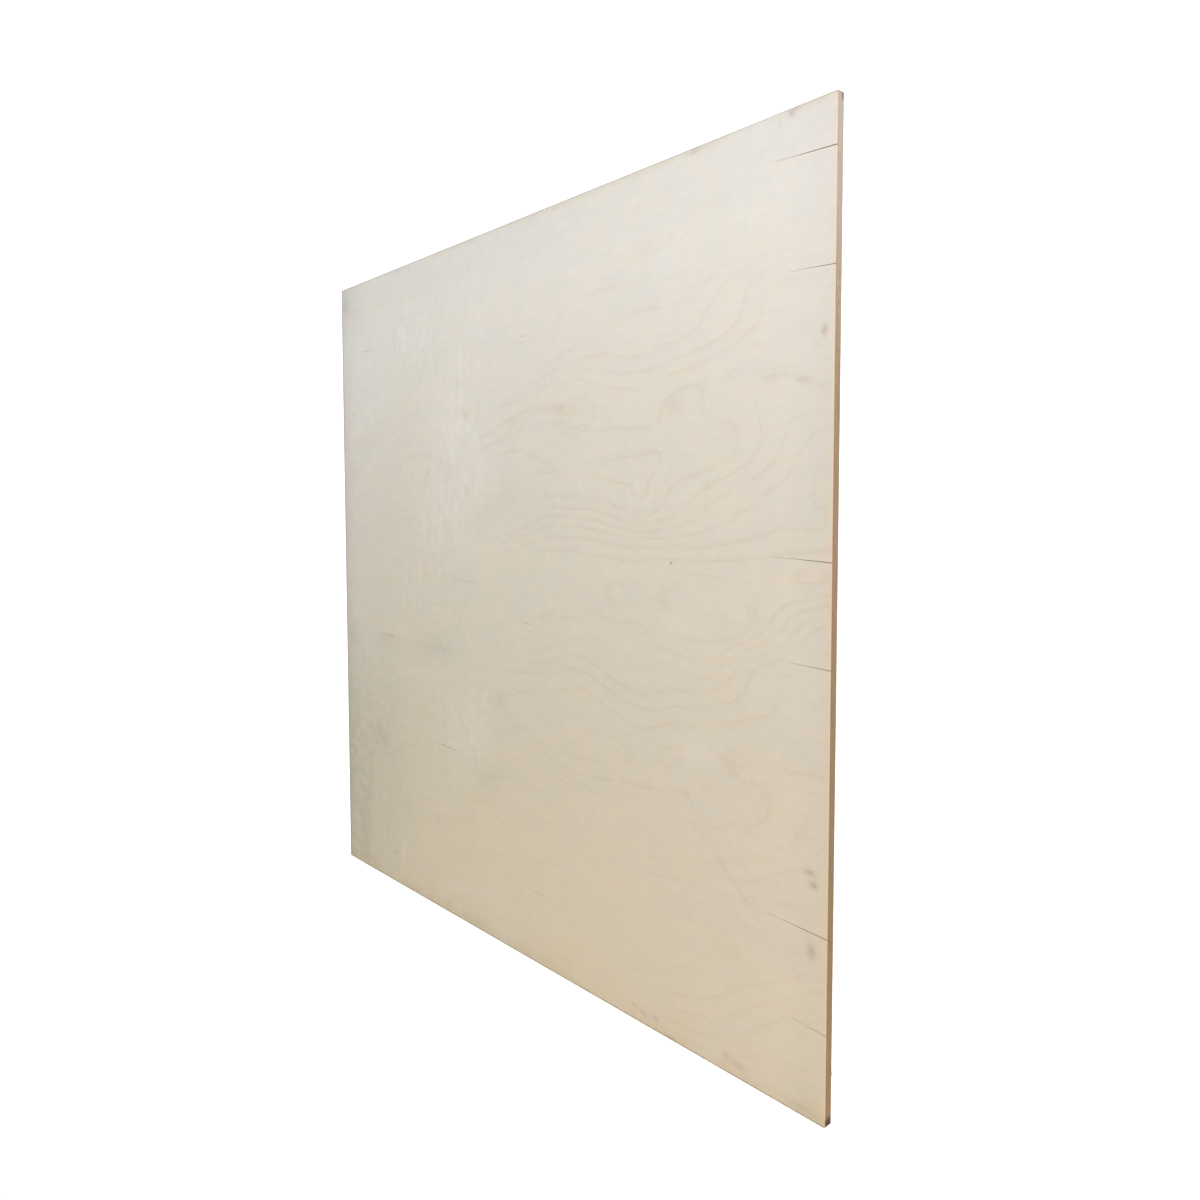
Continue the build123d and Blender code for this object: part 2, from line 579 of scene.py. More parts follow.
@dataclass(frozen=True)
class Figure:
    """The growth rings that a peeled veneer shows, as a height whose whole numbers are its lines.

    Args:
        turn: How far the knife peels in one turn of the log, after which the figure repeats.
        crest: Where the first figure is highest, from the edge at +Y.
        rings: How many rings there are from the middle of the figure's swing to its crest.
        level: The ring in the middle of the swing.
        sway: How much the lines wander across the grain, as a share of the usual.
        calm: Where the swing sets in along the grain and where it is full.
        lines: Lines that the figure is drawn to.
        swellings: Where its rings close.
        reach: How far a drawn line pulls its neighbours.
        narrow: How many times less far it gives them its strength.
        faint: How strong the lines are away from the drawn ones.
    """

    turn: float = 585.0
    crest: float = 490.0
    rings: float = 3.4
    level: float = 2.0
    sway: float = 1.0
    calm: tuple[float, float] = (250.0, 700.0)
    lines: tuple[RingLine, ...] = ()
    swellings: tuple[Swelling, ...] = ()
    reach: float = 55.0
    narrow: float = 2.4
    faint: float = 0.35

    def _wander(self, x: np.ndarray) -> np.ndarray:
        """How far the lines lie from straight.

        Args:
            x: Places along the grain.

        Returns:
            How far down the lines lie at each place.
        """

        def near(middle: float, width: float) -> np.ndarray:
            """1 in the middle, fading over a width to either side."""
            return np.exp(-(((x - middle) / width) ** 2))

        hump = -22 * near(950, 75) + 12 * near(1120, 80)
        swell = 20 * near(690, 120) + 16 * np.sin(x / 95) * near(250, 230)
        lift = -150 * np.clip((x - 1230) / 300, 0, 1) ** 1.5
        return self.sway * (hump + swell + lift)

    def _plain(self, x: np.ndarray, y: np.ndarray) -> np.ndarray:
        """The figure before any line is drawn into it.

        Args:
            x: Places along the grain.
            y: Places across it.

        Returns:
            The ring number at each place.
        """
        phase = 2 * np.pi * (y - self._wander(x) - self.crest) / self.turn
        swing = np.clip((x - self.calm[0]) / (self.calm[1] - self.calm[0]), 0.3, 1)
        swell = sum(swelling.height(x, y) for swelling in self.swellings)
        return self.level + self.rings * swing * np.cos(phase) + swell

    def _pegs(self) -> np.ndarray:
        """Sets points along the drawn lines.

        Returns:
            A row for each point: its place, its ring and its line's strength.
        """
        apart = 35.0
        pegs = []
        for line in self.lines:
            path = np.array(line.path, float)
            for start, end in zip(path, path[1:]):
                steps = max(1, int(np.hypot(*(end - start)) / apart))
                for i in range(steps):
                    pegs.append((*(start + (end - start) * i / steps), line.ring, line.strength))
            pegs.append((*path[-1], line.ring, line.strength))
        return np.array(pegs)

    def strength(self, x: np.ndarray, y: np.ndarray) -> np.ndarray:
        """How dark the lines are: as drawn near the drawn lines, and faint elsewhere.

        Args:
            x: Places along the grain.
            y: Places across it.

        Returns:
            The strength at each place.
        """
        total, weight = np.zeros_like(x), np.zeros_like(x)
        spread = 2 * (self.reach / self.narrow) ** 2
        for peg_x, peg_y, _, strength in self._pegs() if self.lines else ():
            near = np.exp(-((x - peg_x) ** 2 + (y - peg_y) ** 2) / spread)
            total += near * strength
            weight += near
        drawn = np.clip(weight, 0, 1)
        return total / np.maximum(weight, 1e-6) * drawn + self.faint * (1 - drawn)

    def height(self) -> Height:
        """Fits the figure to its lines.

        Returns:
            A function that gives the ring number at places in millimetres.
        """
        if not self.lines:
            return self._plain
        pegs = self._pegs()
        spread = 2 * self.reach**2
        apart = ((pegs[:, None, :2] - pegs[None, :, :2]) ** 2).sum(2)
        slack = 0.02 * np.eye(len(pegs))
        missing = pegs[:, 2] - self._plain(pegs[:, 0], pegs[:, 1])
        pull = np.linalg.solve(np.exp(-apart / spread) + slack, missing)

        def fitted(x: np.ndarray, y: np.ndarray) -> np.ndarray:
            """The plain figure and the pull of every peg.

            Args:
                x: Places along the grain.
                y: Places across it.

            Returns:
                The ring number at each place.
            """
            total = self._plain(x, y)
            for (peg_x, peg_y, *_), weight in zip(pegs, pull):
                total = total + weight * np.exp(-((x - peg_x) ** 2 + (y - peg_y) ** 2) / spread)
            return total

        return fitted


def steepness(height: Height, x: np.ndarray, y: np.ndarray) -> np.ndarray:
    """How close the rings of a figure lie.

    Args:
        height: The figure's ring number as a function of place.
        x: Places along the grain.
        y: Places across it.

    Returns:
        The rings per metre at each place.
    """
    step = 1.0
    along = height(x + step, y) - height(x - step, y)
    across = height(x, y + step) - height(x, y - step)
    return np.hypot(along, across) / (2 * step * MM)


@dataclass(frozen=True)
class Patch:
    """A soft-edged oval patch on a veneer.

    Args:
        stain: What it does to the wood, or the painted sheen that it lays on it.
        x: Its middle, in millimetres from the end at -X.
        y: Its middle, in millimetres from the edge at +Y.
        long: Half its length, along the grain before it is turned.
        wide: Half its width.
        strength: How strong it is in the middle.
        turn: Degrees clockwise from the grain, as the photograph shows it.
    """

    stain: Stain
    x: float
    y: float
    long: float
    wide: float
    strength: float = 1.0
    turn: float = 0.0

    def cover(self, x: np.ndarray, y: np.ndarray) -> np.ndarray:
        """How strong the patch is.

        Args:
            x: Places along the grain.
            y: Places across it.

        Returns:
            The strength at each place.
        """
        angle = math.radians(self.turn)
        u = ((x - self.x) * math.cos(angle) + (y - self.y) * math.sin(angle)) / self.long
        v = ((y - self.y) * math.cos(angle) - (x - self.x) * math.sin(angle)) / self.wide
        return self.strength * np.exp(-(u**2 + v**2))


@dataclass(frozen=True)
class Spot:
    """A small dark spot on the better face.

    Args:
        x: Its middle, in millimetres from the end at -X.
        y: Its middle, in millimetres from the edge at +Y.
        long: Half its length along the grain.
        wide: Half its width.
        strength: How dark it is in the middle.
    """

    x: float
    y: float
    long: float
    wide: float
    strength: float

    def cover(self, s: Shader) -> Value:
        """How dark the spot makes a material.

        Args:
            s: The material.

        Returns:
            The darkness at each of its places.
        """
        u = (s.x - (self.x - MIDDLE) * MM) / (self.long * MM)
        v = (s.y - (MIDDLE - self.y) * MM) / (self.wide * MM)
        return (-(u * u + v * v)).exp() * self.strength


@dataclass(frozen=True)
class Stroke:
    """A thin dark stroke on the better face: dirt along a check, a scratch or a lone ring.

    Args:
        x: Its middle, in millimetres from the end at -X.
        y: Its middle, in millimetres from the edge at +Y.
        length: Its length in millimetres.
        strength: How dark it is in the middle.
        turn: Degrees clockwise from the long way of the sheet, as the photograph shows it.
        wide: How far to its sides it fades, in millimetres.
    """

    x: float
    y: float
    length: float
    strength: float
    turn: float = 3.4
    wide: float = 1.0

    def cover(self, s: Shader) -> Value:
        """How dark the stroke makes a material.

        Args:
            s: The material.

        Returns:
            The darkness at each of its places.
        """
        angle = math.radians(self.turn)
        right = (s.x - (self.x - MIDDLE) * MM) / MM
        down = ((MIDDLE - self.y) * MM - s.y) / MM
        along = right * math.cos(angle) + down * math.sin(angle)
        aside = down * math.cos(angle) - right * math.sin(angle)
        return aside.bell(self.wide) * along.bell(self.length * 0.45) * self.strength


FACE_SPOTS = tuple(Spot(*row) for row in (
    (1203, 682, 2.6, 2.0, 0.9), (1507, 333, 6.0, 9.0, 0.5), (1497, 1260, 8.0, 11.0, 0.45),
    (1500, 1157, 8.0, 6.0, 0.55), (1492, 1140, 10.0, 5.0, 0.5), (1113, 1499, 7.0, 3.5, 0.35),
    (1138, 1504, 11.0, 4.0, 0.35), (1168, 1501, 9.0, 5.0, 0.3), (1332, 1497, 8.0, 6.0, 0.25),
    (12, 1523, 9.0, 3.0, 0.5), (100, 1523, 12.0, 3.0, 0.5), (435, 1523, 32.0, 3.0, 0.45),
    (616, 1523, 6.0, 3.0, 0.25), (742, 1523, 6.0, 3.0, 0.25), (890, 1523, 5.0, 3.0, 0.35),
    (982, 1523, 14.0, 3.0, 0.3), (1208, 1523, 11.0, 4.0, 0.7), (1280, 1523, 5.0, 3.0, 0.3),
    (610, 2, 6.0, 3.0, 0.25), (848, 2, 5.0, 3.0, 0.25), (1256, 2, 9.0, 3.0, 0.35),
    (1450, 2, 10.0, 4.0, 0.4), (1358, 1503, 16.0, 7.0, 0.3), (1480, 1512, 40.0, 6.0, 0.25),
    (1446, 9, 7.0, 5.0, 0.45), (1424, 14, 3.0, 8.0, 0.25), (1252, 7, 16.0, 4.0, 0.35),
    (893, 9, 6.0, 3.0, 0.3), (20, 45, 16.0, 26.0, 0.3),
))

FACE_STROKES = tuple(Stroke(*row) for row in (
    (142, 177, 85, 0.14), (790, 236, 30, 0.13), (563, 743, 115, 0.05), (795, 820, 50, 0.17),
    (238, 897, 75, 0.42), (490, 1133, 80, 0.5), (336, 1164, 40, 0.2), (830, 1376, 70, 0.13),
    (247, 1450, 45, 0.3), (1419, 70, 20, 0.2), (1454, 239, 20, 0.25), (1427, 666, 22, 0.3),
    (1460, 826, 22, 0.3), (1419, 1228, 20, 0.3), (1469, 1379, 20, 0.25),
    (1352, 1205, 150, 0.15, 41, 1.4), (1292, 701, 170, 0.07, 5.4, 1.1),
))


def patches_of(stain: Stain, *rows: tuple[float, ...]) -> tuple[Patch, ...]:
    """One patch for each row of numbers, in the order of a patch's fields after its stain."""
    return tuple(Patch(stain, *row) for row in rows)


FACE_PATCHES = (
    *patches_of(
        Stain.WARM,
        (1206, 410, 20, 20, 0.6), (584, 542, 11, 8, 0.9), (920, 398, 48, 11, 0.6, 6),
        (860, 389, 85, 7, 0.5), (585, 375, 40, 9, 0.9, 14), (755, 407, 16, 14, 0.5),
        (110, 405, 80, 14, 0.4), (60, 480, 45, 14, 0.4), (1412, 387, 26, 10, 0.55),
        (1045, 188, 50, 8, 0.3), (1140, 238, 40, 9, 0.2), (1330, 103, 80, 4, 0.4, 3),
        (1140, 134, 40, 14, 0.35), (1295, 1058, 22, 15, 0.25), (1418, 1055, 14, 22, 0.35),
        (1335, 1002, 24, 9, 0.45), (1044, 738, 12, 12, 0.4), (1185, 752, 16, 12, 0.35),
        (1385, 757, 10, 22, 0.4), (700, 990, 22, 18, 0.5), (240, 912, 60, 16, 0.35),
        (390, 1062, 34, 14, 0.4), (335, 1300, 60, 14, 0.3, -12), (1340, 1318, 26, 20, 0.3),
        (620, 1230, 60, 10, 0.4, -14),
    ),
    *patches_of(
        Stain.GREY,
        (440, 905, 75, 26, 0.6, -3), (1482, 404, 42, 4, 1.0, 16), (88, 1440, 26, 90, 0.6),
        (118, 1290, 12, 120, 0.3, 6), (110, 1080, 160, 150, 0.3), (230, 1200, 80, 170, 0.25),
        (1495, 1495, 45, 45, 0.25), (40, 55, 90, 90, 0.5), (715, 545, 60, 36, 0.25),
        (418, 505, 7, 56, 0.45, 26), (165, 1165, 45, 34, 0.5), (30, 1280, 110, 225, 0.78),
        (558, 1070, 3, 72, 0.5, -38), (195, 910, 30, 13, 0.35), (40, 905, 26, 40, 0.4),
        (665, 590, 60, 26, 0.3, -16), (660, 1175, 60, 30, 0.3, -30), (1190, 738, 12, 16, 0.3),
        (1085, 758, 60, 7, 0.35), (597, 61, 13, 12, 0.35), (1176, 157, 7, 9, 0.5),
    ),
    *patches_of(
        # Painted sheen: where the figure catches the light
        Stain.PAINTED_SHEEN,
        (290, 150, 60, 40, 0.7, -52), (385, 195, 90, 55, 0.8), (560, 300, 16, 60, 1.0, 12),
        (600, 240, 60, 130, 0.4), (600, 410, 40, 34, 0.9, -40), (560, 470, 90, 130, 1.0, 8),
        (470, 600, 90, 110, 0.9, 14), (360, 770, 90, 50, 0.6), (650, 1000, 50, 20, 1.3, -56),
        (600, 1080, 40, 60, 1.0, 12), (530, 1120, 90, 80, 0.5), (310, 1370, 30, 110, 0.4, 8),
        (280, 1440, 40, 50, 0.7), (50, 1480, 50, 30, 0.8), (50, 980, 60, 40, 0.8),
        (60, 330, 70, 140, 0.7), (870, 700, 24, 60, 0.4), (1115, 558, 34, 18, 0.8),
        (970, 585, 8, 60, 0.5), (1090, 670, 6, 70, 0.5), (1178, 205, 8, 20, 0.8),
        (1240, 1060, 50, 24, 0.5),
    ),
    *patches_of(
        Stain.PALE,
        (1485, 330, 40, 330, 0.25), (1485, 930, 45, 230, 0.4), (1480, 1300, 60, 160, 0.3),
        (60, 850, 50, 60, 0.5), (120, 330, 110, 150, 0.5), (560, 480, 170, 210, 0.9),
        (580, 1050, 110, 130, 0.6), (680, 1450, 70, 60, 0.4), (230, 260, 90, 120, 0.3),
        (1260, 1000, 50, 22, 0.6), (545, 1455, 120, 16, 0.7, -14), (1180, 170, 20, 40, 0.4),
        (1220, 790, 40, 14, 0.5),
    ),
)

BACK_PATCHES = (
    *patches_of(
        Stain.WARM,
        (380, 300, 120, 18, 0.8), (1180, 520, 90, 14, 0.8, 4), (820, 980, 140, 20, 0.7, -3),
        (260, 1260, 60, 16, 0.9), (1320, 1180, 40, 18, 1.0, 8),
    ),
    *patches_of(
        Stain.GREY,
        (640, 620, 130, 60, 0.5, -8), (1100, 1330, 90, 50, 0.5, 12), (1440, 760, 40, 160, 0.5),
    ),
    *patches_of(
        # Painted sheen: where the figure catches the light
        Stain.PAINTED_SHEEN,
        (460, 860, 90, 160, 0.7), (1010, 260, 80, 120, 0.6),
    ),
    *patches_of(
        Stain.PALE,
        (120, 700, 60, 280, 0.6), (1240, 860, 140, 50, 0.5),
    ),
)


# Finishes

# How far from the split end, or from a side, a corner's stain sets in and where it is full
STAIN_ALONG = (20.5 * MM, 5.5 * MM)
FOOT_ACROSS = (20.5 * MM, 6.5 * MM)
HEAD_ACROSS = (17.5 * MM, 5.5 * MM)

# Colours of the faces
RING = linear(176, 153, 110)
PALE_RING = linear(224, 214, 196)
FLECK = linear(150, 130, 98)
SPOT = linear(146, 124, 98)
CHECK_DIRT = linear(124, 104, 78)
WARM_WOOD = linear(211, 185, 146)
COOL_WOOD = linear(205, 200, 186)
# Painted cool light for the left end of the face
COOL_LIGHT_LEFT = linear(200, 197, 189)
# Painted warm light for the lower middle of the face
WARM_LIGHT_FOOT = linear(234, 213, 166)
TAN_HEAD = linear(204, 190, 158)
# Painted sheen: its lit colour and its shaded colour
SHEEN_HIGHLIGHT = linear(228, 221, 210)
SHEEN_SHADE = linear(176, 163, 136)
PALE_PATCH = linear(216, 209, 192)
WARM_PATCH = linear(184, 155, 104)
GREY_PATCH = linear(142, 136, 122)
GRIME = linear(160, 156, 146)
DAMP = linear(184, 160, 116)
DIRT = linear(108, 101, 94)
WORN_END = linear(222, 182, 132)
BARE_ARRIS = linear(226, 198, 156)

# Colours of the edges and of torn wood
LONG_GRAIN = linear(178, 157, 124)
END_GRAIN = linear(144, 119, 85)
GLUE = linear(74, 50, 36)
GAP = linear(38, 28, 22)
# Painted shade and painted light for the split end
PAINTED_SHADE_END = linear(120, 98, 64)
PAINTED_LIGHT_END = linear(192, 180, 160)
FACE_PLY = linear(210, 182, 142)
PLY_SHADE = linear(104, 80, 56)
SOIL = linear(92, 76, 60)
HEAD_STAIN = linear(96, 90, 80)
FOOT_STAIN = linear(36, 30, 26)
TORN = linear(194, 171, 144)
CHIP_DARK = linear(112, 98, 80)


@dataclass(frozen=True)
class BirchVeneer:
    """Sanded birch veneer: a pale warm wood with a faint figure.

    Args:
        name: The material's name.
        wood: The wood's own colour.
        figure: How strong the ring lines are.
        soil: How dirty the border is, and how strong its painted shade is.
        shift: Sets the noises of one veneer apart from another's.
        marks: Whether it has the better face's small marks.
    """

    name: str = "birch_better_face"
    wood: tuple = linear(206, 196, 172)
    figure: float = 1.0
    soil: float = 1.0
    shift: float = 0.0
    marks: bool = True

    def _lines(self, s: Shader) -> Value:
        """The ring lines: sharp on one side and fading on the other, in a soft shade.

        Args:
            s: The material.

        Returns:
            How dark they are, below zero where a line is pale.
        """
        broad = s.noise((60, 14, 50), 3, self.shift + 3)
        fine = s.noise((14, 7, 10), 3, self.shift + 4)
        ring = s.attribute("ring") + broad * 0.25 + fine * 0.12
        slope = s.attribute("ring_slope").most(5.0)
        aside = ((ring + 0.5).fract() - 0.5) / slope * 1000
        sharp = (-abs(aside) / (aside.above(0.0) * 1.3 + 1.7)).exp()
        soft = (-abs(aside) / 5.5).exp() * 0.12
        broken = (s.noise((90, 30, 80), 3, self.shift + 5, 0.6) * 3.6 + 0.8).held()
        return (sharp + soft) * broken * s.attribute("ring_strength") * self.figure

    def _small_marks(self, s: Shader, colour: Colour) -> Colour:
        """The better face's pinholes and spots, the dirt in its checks and its scratch.

        Args:
            s: The material.
            colour: The colour so far.

        Returns:
            The colour with its marks.
        """
        spots = sum((spot.cover(s) for spot in FACE_SPOTS), s.x * 0.0)
        strokes = sum((stroke.cover(s) for stroke in FACE_STROKES), s.x * 0.0)
        broken = 1 + s.noise((4, 3, 4), 2, 31) * 1.8
        colour = s.mix((spots * broken * 0.8).held(), colour, SPOT)
        return s.mix((strokes * broken).held(), colour, CHECK_DIRT)

    def _border(self, s: Shader, colour: Colour, tone: Value) -> Colour:
        """The edges of the face: tan where damp got in, dark where they were knocked, with painted
        shade.

        Args:
            s: The material.
            colour: The colour so far.
            tone: Broad noise that breaks up the tan.

        Returns:
            The colour with its borders.
        """
        half = MIDDLE * MM
        wide = s.noise((110, 110, 110), 3, self.shift + 9, 0.6)
        small = s.noise((14, 14, 14), 3, self.shift + 10, 0.7)
        left, right = s.x + half, half - s.x
        low, high = s.y + half, half - s.y
        damp = (low + wide * 0.09 + small * 0.016).rise(0.036, 0.0) * (0.5 + small * 1.2)
        grime = (left + wide * 0.06 + small * 0.02).rise(0.045, 0.0) * 0.16
        damp = damp.most((high + wide * 0.03 + small * 0.012).rise(0.016, 0.0) * 0.5)
        knocked = (left + small * 0.018).rise(0.009, 0.0) * (s.y.rise(-0.2, -0.5) * 0.2 + 0.65)
        dirt = (low + small * 0.006).rise(0.0045, 0.0).most(knocked)
        dirt = dirt.most((high + small * 0.004 + wide * 0.004).rise(0.0045, 0.0) * 0.5)
        dirt = dirt.most((small * 7 + wide * 4 - 2.0).held() * low.rise(0.045, 0.012) * 0.55)
        dirt = dirt.most((small * 7 + wide * 4 - 2.2).held() * high.rise(0.03, 0.008) * 0.4)
        dirt = dirt.most((small * 6 + wide * 5 - 1.6).held() * left.rise(0.06, 0.015) * 0.5)
        damp = damp.most(low.rise(0.1, 0.0) * (0.15 + tone))
        # Painted shade: the face darker towards its top, right and left borders
        border_shade = high.rise(0.14, 0.0) * 0.055 + right.rise(0.1, 0.02) * 0.045
        border_shade = border_shade + left.rise(0.09, 0.0) * 0.04
        colour = s.brighten(colour, 1 - border_shade * self.soil)
        colour = s.mix((grime * self.soil).held(), colour, GRIME)
        colour = s.mix((damp * self.soil).held() * 0.5, colour, DAMP)
        colour = s.mix(right.rise(0.022, 0.002) * 0.16, colour, WORN_END)
        rim = right.rise(0.0045, 0.0005) * s.y.rise(0.9, 0.0)
        colour = s.mix(rim * 0.35, colour, BARE_ARRIS)
        return s.mix((dirt * self.soil).held() * 0.7, colour, DIRT)

    def build(self) -> bpy.types.Material:
        """Makes the material.

        Returns:
            The material.
        """
        s = Shader(self.name)
        line = self._lines(s)
        cloud = s.noise((240, 150, 200), 3, self.shift + 1)
        tone = s.noise((60, 38, 40), 3, self.shift + 14, 0.6)
        mottle = s.noise((22, 13, 12), 3, self.shift + 15, 0.6)
        streak = s.noise((260, 7, 60), 4, self.shift + 2, 0.6)
        grain = s.noise((30, 0.9, 8), 3, self.shift + 6, 0.6)
        speck = s.noise((2.4, 1.8, 2), 1, self.shift + 16)
        ripple = s.noise((13, 75, 40), 2, self.shift + 8, 0.5, 1.0)
        bright = 1 + s.y.bell(0.4, 0.22) * 0.015 + cloud * 0.05 + streak * 0.06
        bright = bright + tone * 0.11 + mottle * 0.09 + (grain + speck) * 0.11
        colour = s.brighten(self.wood, bright)
        # Painted cool light: the left end of the face greyer and cooler
        cool_light_end = s.x.rise(-0.4, -0.72) * s.y.bell(0.5, 0.1)
        colour = s.mix(cool_light_end * 0.24, colour, COOL_LIGHT_LEFT)
        # Painted warm light: the lower middle of the face lighter and warmer
        warm_light_low = s.y.rise(-0.25, -0.55) * s.x.rise(-0.6, -0.3) * s.x.rise(0.6, 0.1)
        colour = s.mix(warm_light_low * 0.15, colour, WARM_LIGHT_FOOT)
        top = s.y.rise(0.5, 0.74) * s.x.rise(0.75, 0.2)
        colour = s.mix(top * 0.1, colour, TAN_HEAD)
        warmer = (cloud * 0.4 + streak + tone).rise(0.0, 0.5)
        colour = s.mix(warmer * 0.4, colour, WARM_WOOD)
        cooler = (cloud * 0.4 + tone * 1.2).rise(0.02, -0.4)
        colour = s.mix(cooler * 0.3, colour, COOL_WOOD)
        dash = (s.noise((70, 1.3, 20), 1, self.shift + 7) * 9 - 2.6).held()
        colour = s.mix(dash * 0.16, colour, FLECK)
        colour = s.mix(line.held() * 0.17, colour, RING)
        colour = s.mix((-line).held() * 0.14, colour, PALE_RING)
        # Painted sheen: lit ripples over the sheen patches and the left of the face, shaded ripples
        # between
        silver = s.attribute(Stain.PAINTED_SHEEN.value) * (1 + tone * 2) + s.x.rise(0.15, -0.4) * 0.22
        lit = (silver * (ripple * 2.6 + mottle + 0.25)).held()
        colour = s.mix(lit * 0.28, colour, SHEEN_HIGHLIGHT)
        sheen_shade_mask = (silver * (0.05 - ripple * 2 - mottle)).held()
        colour = s.mix(sheen_shade_mask * 0.2, colour, SHEEN_SHADE)
        pale = s.attribute(Stain.PALE.value) * (1 + cloud * 2 + tone * 2)
        colour = s.mix(pale.held() * 0.4, colour, PALE_PATCH)
        blot = s.noise((30, 8, 20), 3, self.shift + 12)
        warm = s.attribute(Stain.WARM.value) * (1 + blot * 2.4)
        colour = s.mix(warm.held() * 0.3, colour, WARM_PATCH)
        smudge = s.noise((34, 18, 20), 3, self.shift + 13, 0.6)
        grey = s.attribute(Stain.GREY.value) * (1 + smudge * 2.8)
        colour = s.mix(grey.held() * 0.25, colour, GREY_PATCH)
        if self.marks:
            colour = self._small_marks(s, colour)
        colour = self._border(s, colour, tone)
        rough = 0.62 + streak * 0.12 - silver * 0.05
        return s.finish(colour, rough, s.bump(grain * 0.7 + streak * 0.5, 0.00012), 0.3)


def at_corner(s: Shader, x: float, y: float, across: tuple[float, float]) -> Value:
    """Where a corner of the split end is stained.

    Args:
        s: The material.
        x: The sheet's end.
        y: The corner's side of the sheet. Below zero it is the side at -Y.
        across: How far from that side the stain sets in, and where it is full.

    Returns:
        A value from 0 to 1.
    """
    outward = s.y * math.copysign(1.0, y)
    at_side = outward.rise(*(abs(y) - inset for inset in across))
    return at_side * s.x.rise(*(x - inset for inset in STAIN_ALONG))


@dataclass(frozen=True)
class SawnPlies:
    """The sawn edges: long-grained plies and end-grained ones by turns, with glue between.

    Args:
        length: The sheet's length.
        width: The sheet's width.
        veneer: The thickness of a ply.
        sanding: What was sanded off each face.
    """

    length: float
    width: float
    veneer: float
    sanding: float

    def build(self) -> bpy.types.Material:
        """Makes the material.

        Returns:
            The material.
        """
        s = Shader("birch_sawn_plies")
        ply = (s.z + self.sanding) / self.veneer
        number = ply.floor()
        odd = (number * 0.5).fract() * 2
        end = abs(s.x).above(self.length / 2 - 0.6 * MM)
        across = end * (1 - odd) + (1 - end) * odd
        seam = (0.5 - abs(ply.fract() - 0.5)) * (self.veneer * 1000)
        glue = (seam + s.noise((6, 6, 6), 1, 40) * 0.08).bell(0.11)
        cloud = s.noise((120, 120, 3), 3, 41)
        fibre = s.noise((22, 22, 0.35), 3, 42, 0.65)
        pores = s.noise((0.7, 0.7, 1.2), 2, 43)
        bands = s.noise((900, 900, 1.1), 1, 44)
        even = 1 + cloud * 0.25 + bands * 0.2
        long_grain = s.brighten(LONG_GRAIN, even + fibre * 0.3)
        end_grain = s.brighten(END_GRAIN, even + pores * 0.5)
        colour = s.mix(across, long_grain, end_grain)
        colour = s.mix(glue * 0.75, colour, GLUE)
        gap = (s.noise((34, 34, 2.0), 1, 45) * 12 - 3.9).held() * (1 - across)
        colour = s.mix(gap, colour, GAP)
        split_end = end * s.x.above(0.0)
        # Painted shade: the split end browner and darker towards -Y
        low = s.y.rise(0.55, -0.5) * split_end
        colour = s.mix(low * 0.5, colour, PAINTED_SHADE_END)
        # Painted light: the split end lighter and greyer towards +Y
        upper = s.y.rise(0.3, 0.7) * split_end
        colour = s.mix(upper * 0.5, colour, PAINTED_LIGHT_END)
        plies_up = s.z / self.veneer
        colour = s.mix(plies_up.rise(10.2, 10.55) * 0.5, colour, FACE_PLY)
        colour = s.mix(plies_up.bell(0.5, 9.5) * 0.35, colour, PLY_SHADE)
        soil = (s.noise((60, 60, 9), 4, 46, 0.65) * 3.2 - 0.35).held()
        soil = soil * s.z.rise(12 * MM, 2 * MM)
        x, y = self.length / 2, self.width / 2
        foot = at_corner(s, x, -y, FOOT_ACROSS) * (1 + cloud)
        head = at_corner(s, x, y, HEAD_ACROSS)
        colour = s.mix(soil * 0.55, colour, SOIL)
        colour = s.mix(head * s.z.rise(8 * MM, 4 * MM) * 0.7, colour, HEAD_STAIN)
        colour = s.mix(foot.held() * 0.85, colour, FOOT_STAIN)
        relief = fibre * (1 - across) + pores * across * 0.8 - glue * 0.6 - gap * 2
        return s.finish(colour, 0.72 + fibre * 0.1, s.bump(relief, 0.00025), 0.25)


@dataclass(frozen=True)
class TornWood:
    """Wood that split open or was torn, darker in the chips along the long edges.

    Args:
        length: The sheet's length.
        width: The sheet's width.
    """

    length: float
    width: float

    def build(self) -> bpy.types.Material:
        """Makes the material.

        Returns:
            The material.
        """
        s = Shader("birch_torn_wood")
        fibre = s.noise((18, 0.5, 0.4), 3, 51, 0.7)
        # Darker in the chips along the long edges
        in_chips = abs(s.y).rise(self.width / 2 - 4 * MM, self.width / 2 - 3 * MM)
        foot = at_corner(s, self.length / 2, -self.width / 2, FOOT_ACROSS)
        colour = s.mix(in_chips * 0.8, TORN, CHIP_DARK)
        colour = s.mix(foot * 0.7, colour, FOOT_STAIN)
        colour = s.brighten(colour, 1 + fibre * 0.7)
        return s.finish(colour, 0.85 + fibre * 0.1, s.bump(fibre, 0.0003), 0.15)


@dataclass(frozen=True)
class Splinter:
    """The weathered wood of splinters and loose fibres.

    Args:
        name: The material's name.
        wood: Its colour.
    """

    name: str
    wood: tuple

    def build(self) -> bpy.types.Material:
        """Makes the material.

        Returns:
            The material.
        """
        s = Shader(self.name)
        streak = s.noise((1.2, 4, 4), 3, 61, 0.6)
        colour = s.brighten(self.wood, 1 + streak * 0.8)
        return s.finish(colour, 0.8 + streak * 0.1, s.bump(streak, 0.0001), 0.2)


# The sheet


@dataclass(frozen=True)
class Sticker:
    """A rectangle on the map that the sheet's colours are baked to.

    Args:
        left: Where it starts across the map.
        low: Where it starts up the map.
        wide: How wide it is.
        high: How high it is.
    """

    left: float
    low: float
    wide: float
    high: float

    def at(self, across: np.ndarray, up: np.ndarray) -> np.ndarray:
        """Places on the map for shares of the rectangle.

        Args:
            across: Shares of its width, held between 0 and 1.
            up: Shares of its height, held between 0 and 1.

        Returns:
            One pair of coordinates for each pair of shares.
        """
        u = self.left + self.wide * np.clip(across, 0, 1)
        v = self.low + self.high * np.clip(up, 0, 1)
        return np.stack([u, v], 1)


